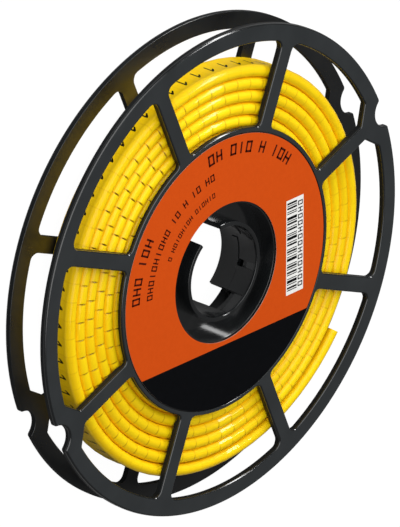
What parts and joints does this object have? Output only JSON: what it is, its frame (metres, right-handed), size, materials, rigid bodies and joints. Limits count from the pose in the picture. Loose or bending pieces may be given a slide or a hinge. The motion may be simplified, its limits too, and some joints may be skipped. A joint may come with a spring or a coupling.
{
  "type": "cable marker reel",
  "caption": "Flat spoked plastic reel with a hub bore, wound with a strip of yellow cable markers and faced with a round printed label.",
  "frame": {"origin": "centre of the back flange's outer face, on the reel's axis, which is the middle of the bottom of its box", "axes": "+Z along the reel's axis, from the back flange to the labelled front; X through the two notches in the rim"},
  "size_m": [0.1394, 0.14, 0.015],
  "materials": {
    "reel_plastic": "satin moulded",
    "label_print": "coated print",
    "marker_plastic": "satin"
  },
  "bodies": {
    "root": {"back_half": "reel_plastic", "front_half": "reel_plastic", "label": "label_print", "marker_strip": "marker_plastic"}
  },
  "joints": []
}
